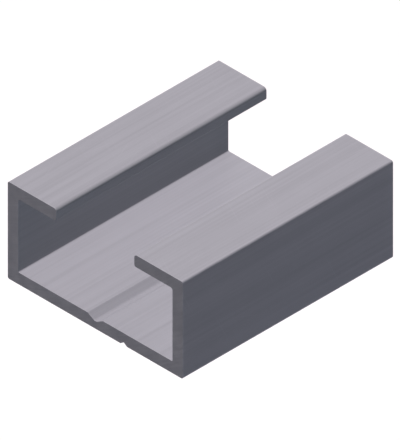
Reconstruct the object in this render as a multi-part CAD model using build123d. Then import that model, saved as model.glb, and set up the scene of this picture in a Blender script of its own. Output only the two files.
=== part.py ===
from build123d import *
from math import radians, tan
import os

# Short cut piece of an extruded aluminium lipped channel: one solid, in millimetres.
# X runs across the section, Y along the extrusion from one saw cut to the other, Z up.
# The origin is on the underside, midway across the section and midway along the piece.

# Overall sizes of the section, and the length sawn from the bar
section_width = 50.0
section_height = 24.0
piece_length = 60.0

# Thickness of each wall
side_wall = 3.0
floor_wall = 3.0
lip_wall = 3.0

# Gap between the tips of the two lips, open along the whole length
slot_width = 22.2

# Rounding of each kind of corner, which runs along the length
outer_corner_radius = 0.5
lip_tip_top_radius = 0.8
lip_tip_under_radius = 0.5
under_lip_corner_radius = 0.5
floor_corner_radius = 0.3

# Shallow V with a round bottom, down the middle of the floor, where a drill starts
centre_groove_width = 4.4
centre_groove_angle = 120.0
centre_groove_bottom_radius = 1.3

# Small sharp V on the underside, off the middle, which tells the two sides of the bar apart
marking_groove_width = 1.9
marking_groove_angle = 110.0
marking_groove_offset = 8.1

# Places that follow from the sizes above
cavity_width = section_width - 2 * side_wall
cavity_top = section_height - lip_wall
cavity_height = cavity_top - floor_wall

# Nearest that two places are taken as the same one
same_place = 1e-6


def standing_rectangle(width, height, base):
    """Rectangle centred across the section, standing at the height base."""
    return Pos(0, base) * Rectangle(width, height, align=(Align.CENTER, Align.MIN))


def mirrored_corners(section, across, up):
    """The two corners of a section that lie at plus and minus across, at the height up."""
    return [
        corner
        for corner in section.vertices()
        if abs(abs(corner.X) - across) < same_place and abs(corner.Y - up) < same_place
    ]


def v_notch(mouth_width, included_angle, bottom_radius=0.0):
    """V with its mouth on the line up = 0, centred across, and its point below the mouth."""
    half_mouth = mouth_width / 2
    depth = half_mouth / tan(radians(included_angle / 2))
    outline = Polyline((-half_mouth, 0), (0, -depth), (half_mouth, 0), close=True)
    notch = make_face(outline)
    if bottom_radius > 0:
        point = notch.vertices().sort_by(Axis.Y)[0]
        notch = fillet(point, bottom_radius)
    return notch


def channel_walls():
    """Floor, side walls and lips: a rectangle with the cavity and the slot taken out."""
    walls = standing_rectangle(section_width, section_height, 0)
    walls -= standing_rectangle(cavity_width, cavity_height, floor_wall)
    walls -= standing_rectangle(slot_width, lip_wall, cavity_top)
    rounded_corners = (
        (section_width / 2, 0, outer_corner_radius),
        (section_width / 2, section_height, outer_corner_radius),
        (slot_width / 2, section_height, lip_tip_top_radius),
        (slot_width / 2, cavity_top, lip_tip_under_radius),
        (cavity_width / 2, cavity_top, under_lip_corner_radius),
        (cavity_width / 2, floor_wall, floor_corner_radius),
    )
    for across, up, radius in rounded_corners:
        walls = fillet(mirrored_corners(walls, across, up), radius)
    return walls


def channel_section():
    """The walls with both grooves cut, drawn out equally both ways from the origin."""
    centre_groove = v_notch(
        centre_groove_width, centre_groove_angle, centre_groove_bottom_radius
    )
    marking_groove = v_notch(marking_groove_width, marking_groove_angle)
    section = channel_walls()
    section -= Pos(0, floor_wall) * centre_groove
    section -= Pos(marking_groove_offset, 0) * mirror(marking_groove, Plane.XZ)
    return extrude(Plane.XZ * section, amount=piece_length / 2, both=True)


os.makedirs("parts", exist_ok=True)
export_step(channel_section(), "parts/channel_section.step")
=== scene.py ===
from math import pi, radians

import bpy
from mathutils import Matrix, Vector


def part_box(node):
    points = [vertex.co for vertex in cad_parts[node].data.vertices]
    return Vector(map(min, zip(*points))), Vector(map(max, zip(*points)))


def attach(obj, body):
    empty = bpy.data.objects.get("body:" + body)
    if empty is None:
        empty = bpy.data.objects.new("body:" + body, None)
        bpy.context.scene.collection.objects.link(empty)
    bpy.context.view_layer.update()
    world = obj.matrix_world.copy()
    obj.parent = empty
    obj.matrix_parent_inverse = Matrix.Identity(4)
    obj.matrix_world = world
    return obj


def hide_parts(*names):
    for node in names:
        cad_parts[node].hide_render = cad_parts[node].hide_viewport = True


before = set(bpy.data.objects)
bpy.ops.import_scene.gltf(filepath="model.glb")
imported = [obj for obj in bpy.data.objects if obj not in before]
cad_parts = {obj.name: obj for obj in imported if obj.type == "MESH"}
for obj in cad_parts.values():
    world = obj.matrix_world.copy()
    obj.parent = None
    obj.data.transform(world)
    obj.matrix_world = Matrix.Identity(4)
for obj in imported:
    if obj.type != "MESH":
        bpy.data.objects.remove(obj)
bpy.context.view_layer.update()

# A short cut piece of extruded aluminium channel with two lips, as it lies on a white floor.
# Lengths are in metres, and the patterns on the metal are laid out in millimetres.

MM = 0.001

# The section: half its width and length and its height, off its box, and the sizes inside it
HALF_WIDTH, HALF_LENGTH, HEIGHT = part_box("channel_section")[1]
SIDE_WALL = 3.0 * MM
FLOOR_WALL = 3.0 * MM
LIP_WALL = 3.0 * MM
SLOT_WIDTH = 22.2 * MM
LIP_UNDERSIDE = HEIGHT - LIP_WALL

# Break of the sharp edges that the saw leaves, as one light stroke of a file makes it
DEBURR = 0.05 * MM
DEBURR_STEPS = 5

# Points this near are one point, and points this near to a cut lie on it. Facets that bend by
# less than these degrees are one flat face, or one rounded corner that shades smooth.
SAME_POINT = 0.001 * MM
ON_THE_CUT = 0.01 * MM
FLAT_BEND = 0.5
ROUNDED_BEND = 20

# A face whose normal lies this much along the bar is one of the two sawn ends
SQUARE_TO_BAR = 0.99

# The photograph's frame and the piece's place in it, in pixels
FRAME_HIGH = 440
PIXELS_PER_MM = 4.957
PIECE_RIGHT_OF_CENTRE = 0.41
PIECE_ABOVE_CENTRE = 0.48

# Isometric camera without perspective
CAMERA_FROM = (1, -1, 1)
CAMERA_DISTANCE = 0.3

# Dull aluminium as it came from the die, a cooler tone painted on the cavity's walls and lip tips
# against the warm bounce light there, and clean sawn metal made darker and warmer as painted shade
DULL_ALUMINIUM = (0.388, 0.391, 0.432)
CAVITY_WALL_PAINTED_COOL_TINT = (0.389, 0.408, 0.437)
SAWN_ALUMINIUM_WITH_PAINTED_SHADE = (0.366, 0.357, 0.380)

# Shine of metal gone dull, and the trace of bare metal that shows through everywhere
GLOSS = 0.15
BARE_METAL = 0.03

# How far light and dark go from the plain tone, and how much of that fine marks, broad ones
# and clouds make
CONTRAST = 0.22
FINE_SHARE = 0.6
BROAD_SHARE = 0.25
CLOUD_SHARE = 0.15

# Most of that pattern lies between these two values
PATTERN_LOW = 0.35
PATTERN_HIGH = 0.65

# Light: a broad key lamp without shadows, a soft one with them, and a little light all round.
# A lamp's softness is the angle that it fills, in degrees.
KEY_FROM = (-0.33, -0.045, 1.0)
KEY_STRENGTH = 0.917
KEY_TINT = (1.05, 0.985, 0.99)
KEY_SOFTNESS = 5
SOFT_FROM = (-0.1, 0.1, 1.0)
SOFT_STRENGTH = 0.03
SOFT_TINT = (1.0, 1.0, 1.0)
SOFT_SOFTNESS = 90
ROOM_LIGHT = 0.03
ROOM_TINT = (0.72, 0.82, 1.1)

# The floor: what it throws back on the metal, how it looks itself, and its size
FLOOR_BOUNCE = (0.30, 0.336, 0.388)
FLOOR_PAINT = (0.9, 0.9, 0.9)
FLOOR_GLOW = 0.19
FLOOR_SIZE = 4
WHITE = (1.0, 1.0, 1.0)


# Node helpers

def feed(tree, value, socket):
    """Join a socket to another one, or set it to a plain number or colour."""
    if isinstance(value, bpy.types.NodeSocket):
        tree.links.new(value, socket)
    else:
        socket.default_value = value


def maths(tree, operation, *values):
    """Output of one Math node that works on the given values."""
    node = tree.nodes.new("ShaderNodeMath")
    node.operation = operation
    for value, socket in zip(values, node.inputs):
        feed(tree, value, socket)
    return node.outputs["Value"]


def times(tree, first, second):
    """One value times another."""
    return maths(tree, "MULTIPLY", first, second)


def distance(tree, across, up):
    """Straight distance to a point that is that far across and that far up."""
    square = maths(tree, "ADD", maths(tree, "POWER", across, 2.0), maths(tree, "POWER", up, 2.0))
    return maths(tree, "SQRT", square)


def object_place(tree):
    """Place on the piece in millimetres, which stays with it from every side."""
    place = tree.nodes.new("ShaderNodeTexCoord")
    to_mm = tree.nodes.new("ShaderNodeVectorMath")
    to_mm.operation = "SCALE"
    to_mm.inputs["Scale"].default_value = 1 / MM
    tree.links.new(place.outputs["Object"], to_mm.inputs[0])
    return to_mm.outputs["Vector"]


def across_along_up(tree, place):
    """The three parts of a place: across the section, along the bar and up."""
    split = tree.nodes.new("ShaderNodeSeparateXYZ")
    tree.links.new(place, split.inputs["Vector"])
    return split.outputs["X"], split.outputs["Y"], split.outputs["Z"]


def joined_place(tree, *parts):
    """Place put together from its parts."""
    joined = tree.nodes.new("ShaderNodeCombineXYZ")
    for part, socket in zip(parts, joined.inputs):
        feed(tree, part, socket)
    return joined.outputs["Vector"]


def unrolled_place(tree):
    """Place on the skin as if unrolled flat, in millimetres: round the section and along the bar."""
    across, along, up = across_along_up(tree, object_place(tree))
    return joined_place(tree, maths(tree, "ADD", across, up), along)


def stretched(tree, place, scale, turn=(0, 0, 0)):
    """The place turned by some degrees, then scaled along each axis."""
    turned = tree.nodes.new("ShaderNodeMapping")
    turned.inputs["Rotation"].default_value = [radians(angle) for angle in turn]
    tree.links.new(place, turned.inputs["Vector"])
    scaled = tree.nodes.new("ShaderNodeMapping")
    scaled.inputs["Scale"].default_value = scale
    tree.links.new(turned.outputs["Vector"], scaled.inputs["Vector"])
    return scaled.outputs["Vector"]


def noise(tree, place, per_mm, detail):
    """Smooth noise from 0 to 1 with that many swells in a millimetre."""
    node = tree.nodes.new("ShaderNodeTexNoise")
    feed(tree, place, node.inputs["Vector"])
    feed(tree, per_mm, node.inputs["Scale"])
    feed(tree, detail, node.inputs["Detail"])
    return node.outputs["Fac"]


def ramp(tree, value, start, end, at_start=0.0, at_end=1.0):
    """Value taken from start..end to at_start..at_end, and held there beyond."""
    node = tree.nodes.new("ShaderNodeMapRange")
    for given, name in (
        (value, "Value"), (start, "From Min"), (end, "From Max"),
        (at_start, "To Min"), (at_end, "To Max"),
    ):
        feed(tree, given, node.inputs[name])
    return node.outputs["Result"]


def between(tree, share, first, second):
    """Colour that goes from the first to the second as share goes from 0 to 1, and on beyond."""
    node = tree.nodes.new("ShaderNodeMix")
    node.data_type = "RGBA"
    node.clamp_factor = False
    sockets = {socket.identifier: socket for socket in node.inputs}
    feed(tree, share, sockets["Factor_Float"])
    feed(tree, first, sockets["A_Color"])
    feed(tree, second, sockets["B_Color"])
    return next(socket for socket in node.outputs if socket.identifier == "Result_Color")


def tone(colour, share):
    """A colour made lighter or darker by a share of itself."""
    return (*[channel * (1 + share) for channel in colour], 1)


def dark_to_light(tree, share, colour):
    """Colour that goes from darker to lighter than the plain one as share goes from 0 to 1."""
    return between(tree, share, tone(colour, -CONTRAST), tone(colour, CONTRAST))


# Effects that the metal's finishes share

def new_group(name, inputs, outputs):
    """Empty shader group with its named number inputs and outputs, and its two end nodes."""
    tree = bpy.data.node_groups.new(name, "ShaderNodeTree")
    for label, value in inputs.items():
        socket = tree.interface.new_socket(label, in_out="INPUT", socket_type="NodeSocketFloat")
        socket.default_value = value
    for label in outputs:
        tree.interface.new_socket(label, in_out="OUTPUT", socket_type="NodeSocketFloat")
    return tree, tree.nodes.new("NodeGroupInput").outputs, tree.nodes.new("NodeGroupOutput").inputs


def place_group(tree, group, **values):
    """One use of a group in a material, with its own values. An underscore stands for a space."""
    node = tree.nodes.new("ShaderNodeGroup")
    node.node_tree = group
    for label, value in values.items():
        feed(tree, value, node.inputs[label.replace("_", " ")])
    return node.outputs


def die_lines_group():
    """Lines drawn along the bar by the die, fine ones and broad bands, nearly the same all along."""
    tree, given, out = new_group(
        "die lines", {"Fine Per mm": 1.3, "Broad Per mm": 0.22}, ["Fine", "Broad"]
    )
    change_along_bar = 0.012
    place = stretched(tree, object_place(tree), (1, change_along_bar, 1))
    tree.links.new(noise(tree, place, given["Fine Per mm"], detail=4.0), out["Fine"])
    tree.links.new(noise(tree, place, given["Broad Per mm"], detail=1.0), out["Broad"])
    return tree


def cloud_group():
    """Clouds of thicker and thinner oxide, and a fine grain on them."""
    tree, given, out = new_group(
        "oxide clouds", {"Clouds Per mm": 0.11, "Grain Per mm": 2.4}, ["Clouds", "Grain"]
    )
    place = object_place(tree)
    tree.links.new(noise(tree, place, given["Clouds Per mm"], detail=3.0), out["Clouds"])
    tree.links.new(noise(tree, place, given["Grain Per mm"], detail=1.0), out["Grain"])
    return tree


def scratches_group():
    """Short faint scratches from stacking and handling, each set running its own way."""
    tree, given, out = new_group("handling scratches", {"Rarity": 0.74}, ["Scratches"])
    place = unrolled_place(tree)
    across_per_mm, along_per_mm = 4.0, 0.07
    soft_edge = 0.12
    full = maths(tree, "ADD", given["Rarity"], soft_edge)
    total = 0.0
    for turn in (9, -22, 37, -64):
        one_way = stretched(tree, place, (across_per_mm, along_per_mm, 1), (0, 0, turn))
        marks = ramp(tree, noise(tree, one_way, 1.0, detail=0.0), given["Rarity"], full)
        total = maths(tree, "MAXIMUM", total, marks)
    tree.links.new(total, out["Scratches"])
    return tree


def cavity_masks_and_painted_light_group():
    """Painted light and shade in the cavity and on the lips, and masks for the cavity. Sheltered is
    high where handling doesn't reach, Walls is 1 on the cavity's walls and the lip tips, and the
    third output is the share by which the tone goes up or down, as painted light and shade."""
    # Floor Left, High On Walls and Lip Tips are shares of painted light; Floor Right, Groove and
    # Under Lips are shares of painted shade
    tree, given, out = new_group(
        "cavity masks and painted light",
        {"Floor Left": 0.045, "Floor Right": -0.02, "Groove": -0.07, "High On Walls": 0.07,
         "Lip Tips": 0.2, "Under Lips": -0.22, "Shelter": 0.6},
        ["Sheltered", "Walls", "Painted Light And Shade"],
    )
    # Where one tone goes over into the next, in millimetres: across the floor, down into the
    # groove, from the floor up to a wall, up that wall, from the cavity up into a lip, up a lip's
    # lower edge, and back from its tip
    floor_left, floor_right = -5.0, 11.0
    groove_edge, in_groove = 0.0, -0.2
    floor_end, wall_start = 0.1, 0.6
    low_on_wall, high_on_wall = 4.0, 11.0
    below_lip, in_lip = -0.5, 0.0
    lower_edge, above_edge = 0.2, 0.6
    tip_face, behind_tip = 0.1, 0.5
    just_over = 0.1

    across, _, up = across_along_up(tree, object_place(tree))
    either_side = maths(tree, "ABSOLUTE", across)
    between_walls = maths(tree, "LESS_THAN", either_side, (HALF_WIDTH - SIDE_WALL / 2) / MM)
    over_floor = maths(tree, "GREATER_THAN", up, FLOOR_WALL / 2 / MM)
    under_lips = maths(tree, "LESS_THAN", up, LIP_UNDERSIDE / MM + just_over)
    inside = times(tree, times(tree, between_walls, over_floor), under_lips)

    above_floor = maths(tree, "SUBTRACT", up, FLOOR_WALL / MM)
    shelter = ramp(tree, above_floor, groove_edge, in_groove, given["Shelter"], 1.0)
    tree.links.new(times(tree, inside, shelter), out["Sheltered"])
    walls = times(tree, inside, ramp(tree, above_floor, floor_end, wall_start))
    # Painted light on the floor's left, going over to painted shade on its right
    across_floor = ramp(tree, across, floor_left, floor_right,
                        given["Floor Left"], given["Floor Right"])
    floor_painted_light_and_shade = ramp(tree, above_floor, wall_start, floor_end, 0.0, across_floor)
    # Painted shade down in the groove
    groove = ramp(tree, above_floor, groove_edge, in_groove, 0.0, given["Groove"])
    above_cavity = maths(tree, "SUBTRACT", up, LIP_UNDERSIDE / MM)
    # Painted light high on the walls, below the lips
    up_wall = ramp(tree, above_floor, low_on_wall, high_on_wall, 0.0, given["High On Walls"])
    wall_painted_light = times(tree, up_wall, ramp(tree, above_cavity, in_lip, below_lip))
    on_floor = maths(tree, "ADD", floor_painted_light_and_shade, groove)
    cavity = times(tree, inside, maths(tree, "ADD", on_floor, wall_painted_light))

    beyond_slot = maths(tree, "SUBTRACT", either_side, SLOT_WIDTH / 2 / MM)
    tips = times(tree, ramp(tree, beyond_slot, behind_tip, tip_face),
                 maths(tree, "GREATER_THAN", above_cavity, 0.0))
    tree.links.new(maths(tree, "MAXIMUM", walls, tips), out["Walls"])
    # Painted shade along the lips' lower edges, and painted light on the lip tips
    low_on_lips = ramp(tree, above_cavity, above_edge, lower_edge, 0.0, given["Under Lips"])
    on_lips = times(tree, between_walls, ramp(tree, above_cavity, below_lip, in_lip))
    lips = maths(tree, "ADD", times(tree, tips, given["Lip Tips"]),
                 times(tree, low_on_lips, on_lips))
    tree.links.new(maths(tree, "ADD", cavity, lips), out["Painted Light And Shade"])
    return tree


def saw_marks_group():
    """Arcs that a round saw blade leaves on a cut end, about the middle of the blade."""
    tree, given, out = new_group(
        "saw marks", {"Marks Per mm": 2.2, "Passes Per mm": 0.25}, ["Marks", "Passes"]
    )
    blade_across = -70.0
    blade_up = 135.0
    change_along_arc = 6.0
    across, along, up = across_along_up(tree, object_place(tree))
    from_blade = maths(tree, "SUBTRACT", across, blade_across)
    above_blade = maths(tree, "SUBTRACT", up, blade_up)
    reach = distance(tree, from_blade, above_blade)
    around = maths(tree, "ARCTAN2", above_blade, from_blade)
    arcs = joined_place(tree, reach, times(tree, around, change_along_arc), along)
    tree.links.new(noise(tree, arcs, given["Marks Per mm"], detail=3.0), out["Marks"])
    tree.links.new(noise(tree, arcs, given["Passes Per mm"], detail=1.0), out["Passes"])
    return tree


def arris_wear_group():
    """Bright rub along outer corners, lip tips and both rims, broken up along its length."""
    tree, given, out = new_group(
        "arris wear", {"Reach": 0.7, "Rim Reach": 0.35, "Least": 0.25}, ["Wear"]
    )
    arrises = (
        (HALF_WIDTH, 0),
        (HALF_WIDTH, HEIGHT),
        (SLOT_WIDTH / 2, HEIGHT),
    )
    patches_per_mm = 0.55
    change_along_bar = 0.35
    dull_patch, rubbed_patch = 0.38, 0.62

    place = object_place(tree)
    across, along, up = across_along_up(tree, place)
    either_side = maths(tree, "ABSOLUTE", across)
    nearest = None
    for arris_across, arris_up in arrises:
        gap = distance(tree, maths(tree, "SUBTRACT", either_side, arris_across / MM),
                       maths(tree, "SUBTRACT", up, arris_up / MM))
        nearest = gap if nearest is None else maths(tree, "MINIMUM", nearest, gap)
    corner = ramp(tree, nearest, given["Reach"], 0.0)
    from_rim = maths(tree, "SUBTRACT", HALF_LENGTH / MM, maths(tree, "ABSOLUTE", along))
    rim = ramp(tree, from_rim, given["Rim Reach"], 0.0)
    edge = maths(tree, "MAXIMUM", corner, rim)
    drawn_out = stretched(tree, place, (1, change_along_bar, 1))
    patches = noise(tree, drawn_out, patches_per_mm, detail=3.0)
    rubbed = ramp(tree, patches, dull_patch, rubbed_patch, given["Least"], 1.0)
    tree.links.new(times(tree, edge, rubbed), out["Wear"])
    return tree


# The finishes

def bare_finish(name):
    """A new material with only its shader, whose gloss is that of metal gone dull."""
    mat = bpy.data.materials.new(name)
    mat.use_nodes = True
    tree = mat.node_tree
    shader = tree.nodes["Principled BSDF"]
    shader.inputs["Specular IOR Level"].default_value = GLOSS
    return mat, tree, shader


def pattern(tree, fine, broad, clouds):
    """Pattern of light and dark from 0 to 1, most of it from its fine marks."""
    marks = maths(tree, "ADD", times(tree, fine, FINE_SHARE), times(tree, broad, BROAD_SHARE))
    return maths(tree, "ADD", marks, times(tree, clouds, CLOUD_SHARE))


def set_surface(tree, shader, share, wear, dullest, smoothest, rubbed_smoother, rubbed_barer,
                duller=0.0):
    """Roughness that follows the pattern and goes up by duller, and a trace of bare metal.
    Rubbed places are smoother and barer."""
    rough = ramp(tree, share, PATTERN_LOW, PATTERN_HIGH, dullest, smoothest)
    rubbed = maths(tree, "SUBTRACT", duller, times(tree, wear, rubbed_smoother))
    tree.links.new(maths(tree, "ADD", rough, rubbed), shader.inputs["Roughness"])
    bare = times(tree, wear, rubbed_barer)
    tree.links.new(maths(tree, "ADD", bare, BARE_METAL), shader.inputs["Metallic"])


def set_relief(tree, shader, height, depth):
    """Bump that is as deep as depth where the height goes from 0 to 1."""
    bump = tree.nodes.new("ShaderNodeBump")
    bump.inputs["Distance"].default_value = depth
    tree.links.new(height, bump.inputs["Height"])
    tree.links.new(bump.outputs["Normal"], shader.inputs["Normal"])


def extruded_skin(die_lines, oxide_clouds, scratches, cavity_masks_and_painted_light, arris_wear):
    """Skin of the bar as the die left it, dull with oxide and duller still on the cavity's walls,
    with handling marks on it, and with painted light and shade in the cavity and on the lips."""
    mat, tree, shader = bare_finish("extruded_skin")
    lines = place_group(tree, die_lines)
    oxide = place_group(tree, oxide_clouds)
    cavity = place_group(tree, cavity_masks_and_painted_light)
    reached = maths(tree, "SUBTRACT", 1.0, cavity["Sheltered"])
    marks = times(tree, place_group(tree, scratches)["Scratches"], reached)
    wear = place_group(tree, arris_wear, Reach=0.7, Rim_Reach=0.35)["Wear"]
    share = pattern(tree, lines["Fine"], lines["Broad"], oxide["Clouds"])

    scratch_cover, scratch_lighter = 0.5, 0.12
    rub_cover, rub_lighter = 0.6, 0.15
    # The cavity's painted light and shade move the pattern lighter or darker
    lifted = maths(tree, "ADD", share, maths(tree, "DIVIDE", cavity["Painted Light And Shade"], 2 * CONTRAST))
    # On the cavity's walls and lip tips the colour goes over to the painted cool tint
    metal = between(tree, cavity["Walls"], dark_to_light(tree, lifted, DULL_ALUMINIUM),
                    dark_to_light(tree, lifted, CAVITY_WALL_PAINTED_COOL_TINT))
    scratched = between(tree, times(tree, marks, scratch_cover), metal,
                        tone(DULL_ALUMINIUM, scratch_lighter))
    worn = between(tree, times(tree, wear, rub_cover), scratched,
                   tone(DULL_ALUMINIUM, rub_lighter))
    tree.links.new(worn, shader.inputs["Base Color"])
    walls_duller = 0.3
    set_surface(tree, shader, share, wear, dullest=0.56, smoothest=0.44, rubbed_smoother=0.12,
                rubbed_barer=0.12, duller=times(tree, cavity["Walls"], walls_duller))

    line_depth = 0.04 * MM
    scratch_height, grain_height = -0.12, 0.25
    raised = maths(tree, "ADD", lines["Fine"], times(tree, marks, scratch_height))
    grainy = maths(tree, "ADD", raised, times(tree, oxide["Grain"], grain_height))
    set_relief(tree, shader, grainy, line_depth)
    return mat


def sawn_end(saw_marks, oxide_clouds, arris_wear):
    """End of the bar as the saw left it: arcs of the blade's teeth on clean metal, whose tone is
    darker than the skin's as painted shade on the cut ends.
    """
    mat, tree, shader = bare_finish("sawn_end")
    cut = place_group(tree, saw_marks)
    oxide = place_group(tree, oxide_clouds)
    wear = place_group(tree, arris_wear, Reach=0.7, Rim_Reach=0.35)["Wear"]
    share = pattern(tree, cut["Marks"], cut["Passes"], oxide["Clouds"])

    rub_cover, rub_lighter = 0.3, 0.1
    # The cut ends' darker, warmer tone is painted shade
    worn = between(tree, times(tree, wear, rub_cover), dark_to_light(tree, share, SAWN_ALUMINIUM_WITH_PAINTED_SHADE),
                   tone(SAWN_ALUMINIUM_WITH_PAINTED_SHADE, rub_lighter))
    tree.links.new(worn, shader.inputs["Base Color"])
    set_surface(tree, shader, share, wear, dullest=0.58, smoothest=0.46,
                rubbed_smoother=0.0, rubbed_barer=0.08)
    tooth_depth = 0.05 * MM
    set_relief(tree, shader, cut["Marks"], tooth_depth)
    return mat


# The piece

def whole_copy(node, name):
    """Copy of a CAD node with its loose triangles merged into whole faces."""
    bpy.ops.object.select_all(action="DESELECT")
    piece = bpy.data.objects.new(name, node.data.copy())
    bpy.context.scene.collection.objects.link(piece)
    piece.select_set(True)
    bpy.context.view_layer.objects.active = piece
    bpy.ops.mesh.customdata_custom_splitnormals_clear()
    bpy.ops.object.mode_set(mode="EDIT")
    bpy.ops.mesh.select_mode(type="EDGE")
    bpy.ops.mesh.select_all(action="SELECT")
    bpy.ops.mesh.remove_doubles(threshold=SAME_POINT)
    bpy.ops.mesh.dissolve_limited(angle_limit=radians(FLAT_BEND))
    bpy.ops.mesh.select_all(action="DESELECT")
    bpy.ops.object.mode_set(mode="OBJECT")
    return piece


def break_sawn_rims(piece):
    """Round off the sharp edges all round both cuts."""
    mesh = piece.data
    for edge in mesh.edges:
        first, second = [mesh.vertices[end].co.y for end in edge.vertices]
        on_cuts = min(abs(first), abs(second)) > HALF_LENGTH - ON_THE_CUT
        edge.select = on_cuts and first * second > 0
    bpy.ops.object.mode_set(mode="EDIT")
    bpy.ops.mesh.bevel(offset=DEBURR, segments=DEBURR_STEPS, profile=0.5, clamp_overlap=True)
    bpy.ops.object.mode_set(mode="OBJECT")


def shade_as_metal(piece):
    """Flat faces shade flat, right up to rounded corners that shade round."""
    bpy.ops.object.shade_smooth_by_angle(angle=radians(ROUNDED_BEND))
    bpy.ops.object.modifier_add(type="WEIGHTED_NORMAL")
    weighted = piece.modifiers[-1]
    weighted.keep_sharp = True
    bpy.ops.object.modifier_apply(modifier=weighted.name)


def give_finishes(piece, skin, cut):
    """Skin on the long faces, and the sawn finish on the two flat ends."""
    mesh = piece.data
    mesh.materials.clear()
    mesh.materials.append(skin)
    mesh.materials.append(cut)
    for face in mesh.polygons:
        face.material_index = 1 if abs(face.normal.y) > SQUARE_TO_BAR else 0


def channel():
    """The extrusion with its rims broken and its finishes on, in the place of the CAD's own."""
    oxide_clouds = cloud_group()
    arris_wear = arris_wear_group()
    skin = extruded_skin(die_lines_group(), oxide_clouds, scratches_group(),
                         cavity_masks_and_painted_light_group(), arris_wear)
    cut = sawn_end(saw_marks_group(), oxide_clouds, arris_wear)
    piece = whole_copy(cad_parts["channel_section"], "channel")
    break_sawn_rims(piece)
    shade_as_metal(piece)
    give_finishes(piece, skin, cut)
    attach(piece, "root")
    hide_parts("channel_section")


# The studio

def look_at(position, target):
    """Rotation of a camera or lamp at position that faces the target."""
    return (Vector(target) - Vector(position)).to_track_quat("-Z", "Y").to_euler()


def camera():
    """Isometric camera, from the photograph's side of the piece."""
    centre = Vector((0, 0, HEIGHT / 2))
    data = bpy.data.cameras.new("camera")
    data.type = "ORTHO"
    data.ortho_scale = FRAME_HIGH / PIXELS_PER_MM * MM
    data.shift_x = -PIECE_RIGHT_OF_CENTRE / FRAME_HIGH
    data.shift_y = -PIECE_ABOVE_CENTRE / FRAME_HIGH
    data.clip_start = 0.01
    data.clip_end = 20
    obj = bpy.data.objects.new("camera", data)
    obj.location = centre + Vector(CAMERA_FROM).normalized() * CAMERA_DISTANCE
    obj.rotation_euler = look_at(obj.location, centre)
    bpy.context.scene.collection.objects.link(obj)
    bpy.context.scene.camera = obj


def lamp(name, place, strength, tint, softness, shadow):
    """Broad lamp far off in the direction of place. Strength 1 shows a colour as written."""
    data = bpy.data.lights.new(name, "SUN")
    data.energy = strength * pi
    data.color = tint
    data.angle = radians(softness)
    data.use_shadow = shadow
    obj = bpy.data.objects.new(name, data)
    obj.location = Vector(place).normalized()
    obj.rotation_euler = look_at(obj.location, (0, 0, 0))
    bpy.context.scene.collection.objects.link(obj)


def coloured(tree, kind, colour, **settings):
    """Output of a plain shader of that kind, with its colour and other settings."""
    node = tree.nodes.new(kind)
    node.inputs["Color"].default_value = (*colour, 1)
    for name, value in settings.items():
        node.inputs[name].default_value = value
    return node.outputs[0]


def light_and_look(tree, out_kind, light, look):
    """Give light to the piece, and another look where the background itself is seen or mirrored."""
    path = tree.nodes.new("ShaderNodeLightPath")
    seen = maths(tree, "MAXIMUM", path.outputs["Is Camera Ray"], path.outputs["Is Glossy Ray"])
    seen = maths(tree, "MAXIMUM", seen, path.outputs["Is Transmission Ray"])
    mix = tree.nodes.new("ShaderNodeMixShader")
    for source, socket in zip((seen, light, look), mix.inputs):
        tree.links.new(source, socket)
    out = tree.nodes.new(out_kind)
    tree.links.new(mix.outputs["Shader"], out.inputs["Surface"])


def room():
    """World that is white where it is seen, and gives only a little light."""
    world = bpy.data.worlds.new("studio")
    bpy.context.scene.world = world
    world.use_nodes = True
    tree = world.node_tree
    tree.nodes.clear()
    soft = coloured(tree, "ShaderNodeBackground", ROOM_TINT, Strength=ROOM_LIGHT)
    white = coloured(tree, "ShaderNodeBackground", WHITE, Strength=1.0)
    light_and_look(tree, "ShaderNodeOutputWorld", soft, white)


def floor():
    """Pale floor that shows white and takes the faint shadow of the soft lamp."""
    bpy.ops.object.select_all(action="DESELECT")
    bpy.ops.mesh.primitive_plane_add(size=FLOOR_SIZE, location=(0, 0, 0))
    obj = bpy.context.object
    obj.name = "floor"
    mat = bpy.data.materials.new("pale_floor")
    mat.use_nodes = True
    tree = mat.node_tree
    tree.nodes.clear()
    both = tree.nodes.new("ShaderNodeAddShader")
    tree.links.new(coloured(tree, "ShaderNodeBsdfDiffuse", FLOOR_PAINT), both.inputs[0])
    tree.links.new(coloured(tree, "ShaderNodeEmission", WHITE, Strength=FLOOR_GLOW), both.inputs[1])
    bounce = coloured(tree, "ShaderNodeBsdfDiffuse", FLOOR_BOUNCE)
    light_and_look(tree, "ShaderNodeOutputMaterial", bounce, both.outputs[0])
    obj.data.materials.append(mat)


camera()
channel()
room()
floor()
lamp("key", KEY_FROM, KEY_STRENGTH, KEY_TINT, KEY_SOFTNESS, shadow=False)
lamp("soft", SOFT_FROM, SOFT_STRENGTH, SOFT_TINT, SOFT_SOFTNESS, shadow=True)
bpy.context.scene.view_settings.view_transform = "Standard"
